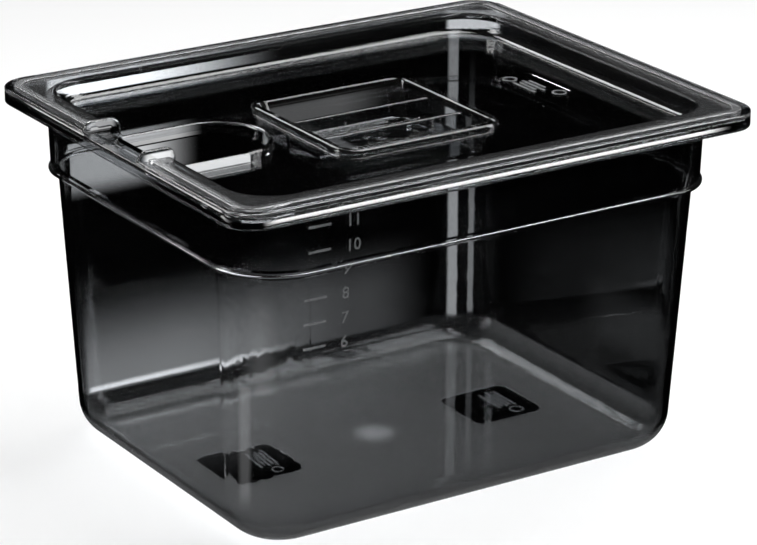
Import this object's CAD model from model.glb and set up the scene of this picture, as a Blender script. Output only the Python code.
import math

import bmesh
import bpy
from mathutils import Matrix, Vector


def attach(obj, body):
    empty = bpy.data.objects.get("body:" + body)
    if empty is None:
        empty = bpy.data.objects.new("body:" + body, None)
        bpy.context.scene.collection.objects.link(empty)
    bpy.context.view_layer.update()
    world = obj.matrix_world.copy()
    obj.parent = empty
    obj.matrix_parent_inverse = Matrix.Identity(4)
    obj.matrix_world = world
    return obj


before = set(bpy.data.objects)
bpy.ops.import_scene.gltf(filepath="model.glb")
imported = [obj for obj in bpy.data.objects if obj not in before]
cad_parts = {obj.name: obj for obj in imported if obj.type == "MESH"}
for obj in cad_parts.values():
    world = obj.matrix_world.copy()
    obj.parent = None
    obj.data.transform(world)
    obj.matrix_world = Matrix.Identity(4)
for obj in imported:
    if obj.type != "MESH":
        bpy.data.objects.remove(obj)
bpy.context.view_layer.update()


# ---- Container ----
# One injection-moulded tub of clear polycarbonate. The mould is polished for the walls and
# the rim, and grit-blasted under the floor, which comes out frosted but for two polished
# windows.
MM = 0.001
POLYCARBONATE_IOR = 1.586
POLISHED = 0.02
LAMP_LIGHT_KEPT = 0.85
FLOOR_HALF_X = 139.0 * MM
FLOOR_HALF_Y = 108.0 * MM
FLOOR_CORNER = 32.0 * MM
BOTTOM_RADIUS = 22.0 * MM
FROST_HEIGHT = 15.0 * MM
FROST_FADE = 3.0 * MM
FROST_SKIN = (1.8 * MM, 1.0 * MM)
WINDOW_X = 79.1 * MM
WINDOW_HALF_X = 23.0 * MM
WINDOW_HALF_Y = 22.5 * MM
WINDOW_CORNER = 7.0 * MM
WINDOW_FADE = (-1.0 * MM, -0.7 * MM)
FLOOR_TOP = (6.0 * MM, 7.0 * MM)
BLUSH_REACH = (1.0 * MM, 18.0 * MM)
BLUSH_CLEARNESS = 0.8


def linear(hex_colour):
    """An sRGB hex colour as the linear values that a shader takes."""
    channels = [int(hex_colour[i:i + 2], 16) / 255 for i in (1, 3, 5)]
    return [c / 12.92 if c <= 0.04045 else ((c + 0.055) / 1.055) ** 2.4 for c in channels] + [1.0]


def add(tree, kind, settings=None, links=None):
    """Adds one node, sets its fields and sockets, and links its inputs."""
    node = tree.nodes.new("ShaderNode" + kind)
    for name, value in (settings or {}).items():
        if isinstance(name, int) or name in node.inputs:
            node.inputs[name].default_value = value
        else:
            setattr(node, name, value)
    for name, socket in (links or {}).items():
        tree.links.new(socket, node.inputs[name])
    return node


def outside_rectangle(tree, x, y, half_x, half_y, corner):
    """How far a point is outside a rounded rectangle about the origin, in metres."""
    reach = []
    for value, half in ((x, half_x), (y, half_y)):
        size = add(tree, "Math", {"operation": "ABSOLUTE"}, {0: value})
        over = add(tree, "Math", {"operation": "SUBTRACT", 1: half - corner}, {0: size.outputs[0]})
        over = add(tree, "Math", {"operation": "MAXIMUM", 1: 0.0}, {0: over.outputs[0]})
        reach.append(add(tree, "Math", {"operation": "POWER", 1: 2.0}, {0: over.outputs[0]}))
    total = add(tree, "Math", {"operation": "ADD"}, {
        0: reach[0].outputs[0], 1: reach[1].outputs[0],
    })
    length = add(tree, "Math", {"operation": "SQRT"}, {0: total.outputs[0]})
    out = add(tree, "Math", {"operation": "SUBTRACT", 1: corner}, {0: length.outputs[0]})
    return out.outputs[0]


def ramp(tree, value, low, high, out_low=0.0, out_high=1.0):
    """Eases from one value at the low limit to another at the high one."""
    return add(tree, "MapRange", {
        "interpolation_type": "SMOOTHSTEP",
        "From Min": low, "From Max": high, "To Min": out_low, "To Max": out_high,
    }, {"Value": value}).outputs[0]


def both(tree, first, second):
    """One value times the other."""
    return add(tree, "Math", {"operation": "MULTIPLY"}, {0: first, 1: second}).outputs[0]


def frosted_floor(tree, place):
    """1 on the grit-blasted underside and bottom radius, 0 in its windows and elsewhere."""
    x, y, z = place.outputs
    out = outside_rectangle(
        tree, x, y, FLOOR_HALF_X - BOTTOM_RADIUS, FLOOR_HALF_Y - BOTTOM_RADIUS,
        FLOOR_CORNER - BOTTOM_RADIUS)
    out = add(tree, "Math", {"operation": "MAXIMUM", 1: 0.0}, {0: out}).outputs[0]
    down = add(tree, "Math", {"operation": "SUBTRACT", 0: BOTTOM_RADIUS}, {1: z}).outputs[0]
    square = add(tree, "Math", {"operation": "ADD"}, {
        0: both(tree, out, out), 1: both(tree, down, down),
    })
    reach = add(tree, "Math", {"operation": "SQRT"}, {0: square.outputs[0]}).outputs[0]
    outer_face = ramp(tree, reach, BOTTOM_RADIUS - FROST_SKIN[0], BOTTOM_RADIUS - FROST_SKIN[1])
    low = ramp(tree, z, FROST_HEIGHT - FROST_FADE, FROST_HEIGHT + FROST_FADE, 1.0, 0.0)
    side = add(tree, "Math", {"operation": "ABSOLUTE"}, {0: x})
    side = add(tree, "Math", {"operation": "SUBTRACT", 1: WINDOW_X}, {0: side.outputs[0]})
    clear = outside_rectangle(
        tree, side.outputs[0], y, WINDOW_HALF_X, WINDOW_HALF_Y, WINDOW_CORNER)
    beside = ramp(tree, clear, *WINDOW_FADE)
    return both(tree, both(tree, outer_face, low), beside)


def gate_blush(tree, place):
    """1 at the middle of the floor, where the plastic came in, easing to 0 round it."""
    x, y, z = place.outputs
    square = add(tree, "Math", {"operation": "ADD"}, {0: both(tree, x, x), 1: both(tree, y, y)})
    reach = add(tree, "Math", {"operation": "SQRT"}, {0: square.outputs[0]}).outputs[0]
    near = ramp(tree, reach, *BLUSH_REACH, 1.0, 0.0)
    return both(tree, near, ramp(tree, z, *FLOOR_TOP, 1.0, 0.0))


def polycarbonate(name, tint, roughness, haze, blasted=None, shine=1.0, blush=None):
    """Clear moulded polycarbonate. Where only a zone is blasted, the rest stays polished."""
    material = bpy.data.materials.new(name)
    material.use_nodes = True
    tree = material.node_tree
    tree.nodes.clear()
    body = add(tree, "BsdfPrincipled", {
        "Base Color": linear(tint), "IOR": POLYCARBONATE_IOR,
        "Roughness": roughness, "Transmission Weight": 1.0 - haze,
    })
    if blasted is not None:
        spot = add(tree, "TexCoord")
        place = add(tree, "SeparateXYZ", {}, {0: spot.outputs["Object"]})
        mask = blasted(tree, place)
        frost = ramp(tree, mask, 0.0, 1.0, POLISHED, roughness)
        tree.links.new(frost, body.inputs["Roughness"])
        clearness = ramp(tree, mask, 0.0, 1.0, 1.0, 1.0 - haze)
        if blush is not None:
            cloud = ramp(tree, blush(tree, place), 0.0, 1.0, 1.0, BLUSH_CLEARNESS)
            clearness = both(tree, clearness, cloud)
        tree.links.new(clearness, body.inputs["Transmission Weight"])
        if shine < 1.0:
            dulled = ramp(tree, mask, 0.0, 1.0, 1.0, shine)
            tree.links.new(dulled, body.inputs["Specular Tint"])
    lamp_light = add(tree, "BsdfTransparent", {"Color": (LAMP_LIGHT_KEPT,) * 3 + (1.0,)})
    path = add(tree, "LightPath")
    mix = add(tree, "MixShader", {}, {
        0: path.outputs["Is Shadow Ray"], 1: body.outputs[0], 2: lamp_light.outputs[0],
    })
    output = add(tree, "OutputMaterial")
    tree.links.new(mix.outputs[0], output.inputs["Surface"])
    return material


# Polycarbonate from a polished mould is clear as glass, with sharp highlights and a faint
# grey cast. The blasted floor is a soft even frost, a little cloudy round the gate.
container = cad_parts["container"]
container.data.materials.clear()
container.data.materials.append(polycarbonate(
    "clear_polycarbonate_tub", "#CDCFD1", roughness=0.27, haze=0.010, blasted=frosted_floor,
    shine=0.15, blush=gate_blush))


# ---- Lid ----
# A thinner injection moulding of the same plastic, which lies loose on the rim. Its mould is
# polished but for the flange, where a light blast leaves satin bands that hide scuffs.
PANEL_HALF_X = 144.4 * MM
PANEL_HALF_Y = 113.4 * MM
PANEL_CORNER = 25.0 * MM
FLANGE_TOP = 199.3 * MM
RIM_HALF_X = 162.5 * MM
RIM_HALF_Y = 132.5 * MM
RIM_CORNER = 18.0 * MM
RIDGE_OUTSIDE = 5.2 * MM
RIDGE_INSIDE = 10.2 * MM
LAND_SATIN = 0.45
ARCH_HALF_Y = 30.8 * MM
ARCH_END_X = -140.0 * MM
PANEL_EDGE = (0.3 * MM, 1.0 * MM)
RIDGE_EASE = 0.8 * MM
GROOVE_EASE = 0.3 * MM
ARCH_EASE = 0.5 * MM
SATIN_FROM = (-0.9 * MM, -0.6 * MM)
SATIN_TO = (1.2 * MM, 1.8 * MM)


def satin_flange(tree, place):
    """1 on the flange's ridge, less on its land, 0 in its groove, on its arches and elsewhere."""
    x, y, z = place.outputs
    inner = outside_rectangle(tree, x, y, PANEL_HALF_X, PANEL_HALF_Y, PANEL_CORNER)
    beside = ramp(tree, inner, *PANEL_EDGE)
    outer = outside_rectangle(tree, x, y, RIM_HALF_X, RIM_HALF_Y, RIM_CORNER)
    ridge = ramp(tree, outer, -RIDGE_INSIDE, -RIDGE_INSIDE + RIDGE_EASE, LAND_SATIN, 1.0)
    groove = ramp(
        tree, outer, -RIDGE_OUTSIDE - GROOVE_EASE, -RIDGE_OUTSIDE + GROOVE_EASE, 1.0, 0.0)
    high = ramp(tree, z, FLANGE_TOP + SATIN_FROM[0], FLANGE_TOP + SATIN_FROM[1])
    low = ramp(tree, z, FLANGE_TOP + SATIN_TO[0], FLANGE_TOP + SATIN_TO[1], 1.0, 0.0)
    aside = add(tree, "Math", {"operation": "ABSOLUTE"}, {0: y})
    from_notch = ramp(tree, aside.outputs[0], ARCH_HALF_Y - ARCH_EASE, ARCH_HALF_Y + ARCH_EASE)
    past_arch = ramp(tree, x, ARCH_END_X, ARCH_END_X + 2 * ARCH_EASE)
    off_arch = add(tree, "Math", {"operation": "MAXIMUM"}, {0: from_notch, 1: past_arch})
    stripes = both(tree, both(tree, beside, ridge), groove)
    return both(tree, both(tree, stripes, off_arch.outputs[0]), both(tree, high, low))


# The same clear plastic. Its satin bands blur what they mirror and look pale beside the panel.
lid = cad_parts["lid"]
lid.data.materials.clear()
lid.data.materials.append(polycarbonate(
    "clear_polycarbonate_lid", "#CDCFD1", roughness=0.26, haze=0.08, blasted=satin_flange))


# ---- Level marks ----
# Raised bars and numbers, one litre apart, moulded on the outside of one long wall near the
# notch. They stand on the wall in the same plastic, a little cloudier than the wall itself.
MARK_RAISE = 0.35 * MM
MARK_TOP_Z = 181.6 * MM
MARK_STEP = 13.4 * MM
BAR_X = (-115.0 * MM, -102.0 * MM)
BAR_HEIGHT = 1.2 * MM
NUMBER_X = -93.0 * MM
NUMBER_HEIGHT = 6.5 * MM
FONT_SIZE_FOR_HEIGHT = 1.4
TOP_NUMBER = 11
MARK_ROWS = 6
MERGE_DISTANCE = 0.01 * MM
BAND_TOP_Z = 194.2 * MM
BAND_HALF_Y = 119.4 * MM
BAND_DRAFT = math.radians(1.3)
SHOULDER_Z = 155.7 * MM
SHOULDER_STEP = 2.9 * MM
WALL_DRAFT = math.radians(2.8)


def wall_at(z):
    """The long wall's outer face at a height: how far out it is, and how far it leans."""
    band = BAND_HALF_Y - math.tan(BAND_DRAFT) * (BAND_TOP_Z - max(z, SHOULDER_Z))
    if z > SHOULDER_Z:
        return band, BAND_DRAFT
    return band - SHOULDER_STEP - math.tan(WALL_DRAFT) * (SHOULDER_Z - z), WALL_DRAFT


def number_mesh(text, height):
    """A number as a thin mesh that stands up from the XY plane."""
    curve = bpy.data.curves.new("number", "FONT")
    curve.body = text
    curve.size = height * FONT_SIZE_FOR_HEIGHT
    curve.extrude = MARK_RAISE / 2
    curve.resolution_u = 3
    holder = bpy.data.objects.new("number", curve)
    mesh = bpy.data.meshes.new_from_object(holder)
    bpy.data.objects.remove(holder)
    bpy.data.curves.remove(curve)
    return mesh


def finish_piece(bm, name, material, body):
    """Makes the mesh an object at the origin, paints it and rides it on its body."""
    bmesh.ops.remove_doubles(bm, verts=bm.verts, dist=MERGE_DISTANCE)
    bmesh.ops.recalc_face_normals(bm, faces=bm.faces)
    mesh = bpy.data.meshes.new(name)
    bm.to_mesh(mesh)
    bm.free()
    mesh.materials.append(material)
    piece = bpy.data.objects.new(name, mesh)
    bpy.context.scene.collection.objects.link(piece)
    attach(piece, body)
    return piece


# The clear plastic of the wall with a faint bloom all over, which shows the marks as pale.
marks_plastic = polycarbonate("raised_polycarbonate_marks", "#B4B6B8", roughness=0.25, haze=0.2)
bm = bmesh.new()
for row in range(MARK_ROWS):
    z = MARK_TOP_Z - row * MARK_STEP
    wall_y, lean = wall_at(z)
    place = Matrix.Translation((0, -wall_y, z)) @ Matrix.Rotation(math.pi / 2 + lean, 4, "X")
    made = bmesh.ops.create_cube(bm, size=1.0)["verts"]
    bar = Matrix.Translation((sum(BAR_X) / 2, 0, 0)) @ Matrix.Diagonal(
        (BAR_X[1] - BAR_X[0], BAR_HEIGHT, MARK_RAISE, 1))
    bmesh.ops.transform(bm, matrix=place @ bar, verts=made)
    number = number_mesh(str(TOP_NUMBER - row), NUMBER_HEIGHT)
    number.transform(place @ Matrix.Translation((NUMBER_X, -NUMBER_HEIGHT / 2, 0)))
    bm.from_mesh(number)
    bpy.data.meshes.remove(number)
finish_piece(bm, "level_marks", marks_plastic, "container")


# ---- Moulding marks ----
# A ring and a few short bars in each polished window, where a mould carries its numbers.
# They are clear, and a third of a millimetre high.
MARK_HEIGHT = 0.3 * MM
UNDER_WINDOW_Z = 0.15 * MM
LID_WINDOW_X = 94.0 * MM
LID_WINDOW_Z = 187.65 * MM
RING_RADIUS = 4.2 * MM
RING_WIDTH = 0.9 * MM
RING_STEPS = 32
LINE_WIDTH = 1.3 * MM


def flat_ring(bm, x, y, z):
    """A low flat ring that stands on a height."""
    corners = [(-RING_WIDTH, 0), (0, 0), (0, MARK_HEIGHT), (-RING_WIDTH, MARK_HEIGHT)]
    section = [bm.verts.new((x + RING_RADIUS + out, y, z + up)) for out, up in corners]
    edges = [bm.edges.new((section[i - 1], section[i])) for i in range(4)]
    bmesh.ops.spin(
        bm, geom=section + edges, cent=(x, y, 0), axis=(0, 0, 1), angle=math.tau,
        steps=RING_STEPS, use_merge=True)


def flat_bar(bm, x, y, z, length_x, length_y):
    """A low bar that stands on a height."""
    made = bmesh.ops.create_cube(bm, size=1.0)["verts"]
    place = Matrix.Translation((x, y, z + MARK_HEIGHT / 2))
    shape = Matrix.Diagonal((length_x, length_y, MARK_HEIGHT, 1))
    bmesh.ops.transform(bm, matrix=place @ shape, verts=made)


def mark_lines(bm, x, y, z, count, step, length, shorter, shift):
    """Low bars side by side, every second one shorter and shifted along."""
    for line in range(count):
        odd = line % 2
        flat_bar(bm, x + step * line, y + shift * odd, z, LINE_WIDTH, length - shorter * odd)


bm = bmesh.new()
for side in (-1, 1):
    middle = side * WINDOW_X
    flat_ring(bm, middle + 9 * MM, -13 * MM, UNDER_WINDOW_Z)
    mark_lines(bm, middle + 2 * MM, 4 * MM, UNDER_WINDOW_Z, count=5, step=2.6 * MM,
               length=22 * MM, shorter=5 * MM, shift=-1 * MM)
finish_piece(bm, "floor_window_marks", marks_plastic, "container")
bm = bmesh.new()
flat_ring(bm, LID_WINDOW_X + 8 * MM, 18 * MM, LID_WINDOW_Z)
flat_ring(bm, LID_WINDOW_X + 17 * MM, -17 * MM, LID_WINDOW_Z)
mark_lines(bm, LID_WINDOW_X + 6 * MM, 1 * MM, LID_WINDOW_Z, count=4, step=3.2 * MM,
           length=21 * MM, shorter=6 * MM, shift=1 * MM)
finish_piece(bm, "lid_window_marks", marks_plastic, "lid")


# ---- Studio floor ----
# A wide sweep of matt white paper, a hair under the tub. The clear plastic shows none of it,
# so the tub stays dark inside.
FLOOR_REACH = 6.0
FLOOR_DROP = 0.4 * MM
bm = bmesh.new()
bmesh.ops.create_grid(bm, x_segments=1, y_segments=1, size=FLOOR_REACH)
bmesh.ops.translate(bm, verts=bm.verts, vec=(0, 0, -FLOOR_DROP))
mesh = bpy.data.meshes.new("studio_floor")
bm.to_mesh(mesh)
bm.free()
floor = bpy.data.objects.new("studio_floor", mesh)
bpy.context.scene.collection.objects.link(floor)
# Uncoated paper is an even white with no gloss.
paper = bpy.data.materials.new("matt_white_sweep")
paper.use_nodes = True
paper_finish = paper.node_tree.nodes["Principled BSDF"]
paper_finish.inputs["Base Color"].default_value = linear("#F2F2F2")
paper_finish.inputs["Roughness"].default_value = 0.9
mesh.materials.append(paper)
floor.visible_glossy = False
floor.visible_transmission = False


# ---- Soft boxes ----
# Four lamps behind diffusing cloth: a large one overhead, a narrow one high at the back and
# one low on each side.


def soft_box(name, place, aim, width, height, power):
    """A rectangular soft box that points from its place at its aim, in metres and watts."""
    light = bpy.data.lights.new(name, "AREA")
    light.shape = "RECTANGLE"
    light.size = width
    light.size_y = height
    light.energy = power
    lamp = bpy.data.objects.new(name, light)
    lamp.location = place
    lamp.rotation_euler = (Vector(aim) - Vector(place)).to_track_quat("-Z", "Y").to_euler()
    lamp.visible_camera = False
    bpy.context.scene.collection.objects.link(lamp)


soft_box("top_box", (0.6, 0.0, 1.5), (0, 0, 0.1), 1.2, 1.2, 24)
soft_box("back_box", (0.2, 1.5, 1.35), (0, 0, 0.15), 0.8, 0.5, 7)
soft_box("left_box", (-1.5, 0.8, 0.9), (0, 0, 0.1), 0.7, 1.2, 18)
soft_box("right_box", (1.4, -0.9, 0.9), (0, 0, 0.1), 0.7, 1.2, 12)


# ---- Glow cards ----
# Small translucent cards lit from behind, stood close to the tub. The camera sees them
# only through the plastic, where they give it its pale patches and bright corners.


def glow_card(name, centre, facing, width, height, strength, fades, mirrored=False):
    """A card whose glow eases in over its four fades, at its left, right, foot and top."""
    bm = bmesh.new()
    bmesh.ops.create_grid(bm, x_segments=1, y_segments=1, size=0.5)
    bmesh.ops.scale(bm, verts=bm.verts, vec=(width, height, 1))
    mesh = bpy.data.meshes.new(name)
    bm.to_mesh(mesh)
    bm.free()
    board = bpy.data.objects.new(name, mesh)
    board.location = centre
    board.rotation_euler = Vector(facing).to_track_quat("Z", "Y").to_euler()
    bpy.context.scene.collection.objects.link(board)
    material = bpy.data.materials.new(name + "_glow")
    material.use_nodes = True
    material.cycles.emission_sampling = "NONE"
    tree = material.node_tree
    tree.nodes.clear()
    spot = add(tree, "TexCoord")
    place = add(tree, "SeparateXYZ", {}, {0: spot.outputs["Object"]})
    left, right, foot, top = fades
    across = both(tree, ramp(tree, place.outputs[0], -width / 2, left - width / 2),
                  ramp(tree, place.outputs[0], width / 2 - right, width / 2, 1.0, 0.0))
    up = both(tree, ramp(tree, place.outputs[1], -height / 2, foot - height / 2),
              ramp(tree, place.outputs[1], height / 2 - top, height / 2, 1.0, 0.0))
    amount = add(tree, "Math", {"operation": "MULTIPLY", 1: strength}, {0: both(tree, across, up)})
    glow = add(tree, "Emission", {}, {"Strength": amount.outputs[0]})
    clear = add(tree, "BsdfTransparent")
    total = add(tree, "AddShader", {}, {0: glow.outputs[0], 1: clear.outputs[0]})
    output = add(tree, "OutputMaterial")
    tree.links.new(total.outputs[0], output.inputs["Surface"])
    mesh.materials.append(material)
    board.visible_camera = False
    board.visible_diffuse = False
    board.visible_shadow = False
    board.visible_glossy = mirrored


# On the far long side: under the rim, on the band, low on the wall and at its foot.
glow_card("under_rim_glow", (-0.060, 0.1245, 0.1902), (0, -1, 0), 0.150, 0.0078, 4.0,
          (0.004, 0.120, 0.001, 0.001))
glow_card("band_glow", (-0.080, 0.1250, 0.1415), (0, -1, 0), 0.084, 0.035, 1.1,
          (0.001, 0.045, 0.014, 0.001))
glow_card("low_back_glow", (-0.030, 0.1150, 0.042), (0, -1, 0), 0.186, 0.064, 0.62,
          (0.006, 0.130, 0.002, 0.058))
glow_card("back_middle_glow", (0.050, 0.1152, 0.042), (0, -1, 0), 0.130, 0.064, 0.13,
          (0.050, 0.050, 0.002, 0.040))
glow_card("back_foot_glow", (-0.045, 0.1140, 0.0145), (0, -1, 0), 0.150, 0.005, 2.0,
          (0.004, 0.110, 0.001, 0.003))
# In the far corner, two upright streaks and the patch over them.
TO_CAMERA = (-0.51, -0.79, 0.0)
glow_card("corner_glow_wide", (0.1335, 0.1215, 0.098), TO_CAMERA, 0.0075, 0.188, 0.75,
          (0.002, 0.001, 0.004, 0.020), True)
glow_card("corner_glow_narrow", (0.1475, 0.1205, 0.088), TO_CAMERA, 0.0045, 0.168, 0.45,
          (0.001, 0.001, 0.004, 0.120), True)
glow_card("corner_top_glow", (0.1460, 0.1160, 0.1895), TO_CAMERA, 0.040, 0.009, 1.6,
          (0.004, 0.006, 0.001, 0.001))
# Inside the near corner, and low inside the right-hand wall.
glow_card("near_corner_glow", (-0.127, -0.092, 0.122), TO_CAMERA, 0.022, 0.076, 0.08,
          (0.011, 0.011, 0.004, 0.060))
glow_card("near_corner_line", (-0.1325, -0.085, 0.054), TO_CAMERA, 0.008, 0.072, 0.11,
          (0.003, 0.003, 0.014, 0.002))
glow_card("right_glow", (0.149, -0.040, 0.050), (-1, 0, 0), 0.110, 0.050, 0.03,
          (0.040, 0.040, 0.020, 0.020))
# Thin lines that the turned-down skirt mirrors.
glow_card("front_rim_glow", (0.0, -0.1440, 0.1894), (0, 1, 0), 0.300, 0.0024, 15.0,
          (0.020, 0.020, 0.0005, 0.0005), True)
glow_card("end_rim_glow", (-0.1740, 0.0, 0.1894), (1, 0, 0), 0.240, 0.0020, 5.0,
          (0.020, 0.020, 0.0005, 0.0005), True)
# Over the lid's two arches and in their hollows.
glow_card("arch_near_glow", (-0.147, -0.014, 0.216), (-0.1, -0.8, -0.6), 0.034, 0.020, 0.8,
          (0.008, 0.008, 0.006, 0.006), True)
glow_card("arch_far_glow", (-0.147, 0.048, 0.216), (-0.1, -0.8, -0.6), 0.034, 0.020, 0.8,
          (0.008, 0.008, 0.006, 0.006), True)
glow_card("arch_near_core", (-0.1500, -0.0303, 0.2003), (0, -1, 0), 0.020, 0.0050, 0.9,
          (0.004, 0.004, 0.001, 0.001))
glow_card("arch_far_core", (-0.1500, 0.0335, 0.2000), (0, -1, 0), 0.020, 0.0050, 0.6,
          (0.004, 0.004, 0.001, 0.001))
# Behind the notch's two sides, and in the grip well.
glow_card("notch_near_glow", (-0.1168, -0.0270, 0.1885), (0, -1, 0), 0.0447, 0.0080, 1.3,
          (0.001, 0.001, 0.001, 0.001))
glow_card("notch_far_glow", (-0.114, 0.0314, 0.1885), (0, -1, 0), 0.050, 0.0080, 0.6,
          (0.001, 0.020, 0.001, 0.001))
glow_card("well_back_glow", (0.0, 0.0505, 0.1800), (0, -1, 0), 0.090, 0.014, 0.12,
          (0.004, 0.040, 0.002, 0.004))
glow_card("well_end_glow", (-0.030, 0.0, 0.1740), (0, 0, 1), 0.030, 0.026, 0.30,
          (0.004, 0.016, 0.003, 0.003))


# ---- Dome ----
# Pale light from all round above the floor, with a dark gap low at the back, so that the
# lid's flat panel mirrors nothing bright.
MIRROR_DIRECTION = (0.509, 0.787, 0.349)
GAP_EDGE = math.radians(30)
GAP_MIDDLE = math.radians(17)
HORIZON = (0.02, 0.2)
DOME_LIGHT = 0.9
LOW_LIGHT = 0.012
world = bpy.data.worlds.new("studio_dome")
world.use_nodes = True
tree = world.node_tree
sky = tree.nodes["Background"]
spot = add(tree, "TexCoord")
along = add(tree, "VectorMath", {"operation": "DOT_PRODUCT", 1: MIRROR_DIRECTION}, {
    0: spot.outputs["Generated"],
})
gap = ramp(
    tree, along.outputs["Value"], math.cos(GAP_EDGE), math.cos(GAP_MIDDLE), 1.0, 0.0)
height = add(tree, "SeparateXYZ", {}, {0: spot.outputs["Generated"]})
above = ramp(tree, height.outputs[2], *HORIZON)
light = add(tree, "Math", {"operation": "MULTIPLY_ADD", 1: DOME_LIGHT, 2: LOW_LIGHT}, {
    0: both(tree, gap, above),
})
tree.links.new(light.outputs[0], sky.inputs["Strength"])
bpy.context.scene.world = world
bpy.context.scene.view_settings.view_transform = "Standard"


# ---- Camera ----
# A long lens off the tub's near corner and a little above it, so that two walls, the lid and
# the floor inside all show.
LOOK_AT = Vector((0.00195, -0.0021, 0.0981))
VIEW_AZIMUTH = math.radians(-32.90)
VIEW_ELEVATION = math.radians(20.44)
VIEW_ROLL = math.radians(0.3)
VIEW_DISTANCE = 1.8442
LENS_LENGTH = 159.4
SENSOR_WIDTH = 36.0
back = Vector((
    math.sin(VIEW_AZIMUTH) * math.cos(VIEW_ELEVATION),
    -math.cos(VIEW_AZIMUTH) * math.cos(VIEW_ELEVATION),
    math.sin(VIEW_ELEVATION),
))
lens = bpy.data.cameras.new("camera")
lens.sensor_width = SENSOR_WIDTH
lens.lens = LENS_LENGTH
camera = bpy.data.objects.new("camera", lens)
camera.location = LOOK_AT + back * VIEW_DISTANCE
roll = Matrix.Rotation(VIEW_ROLL, 3, "Z").to_quaternion()
camera.rotation_mode = "QUATERNION"
camera.rotation_quaternion = (-back).to_track_quat("-Z", "Y") @ roll
bpy.context.scene.collection.objects.link(camera)
bpy.context.scene.camera = camera
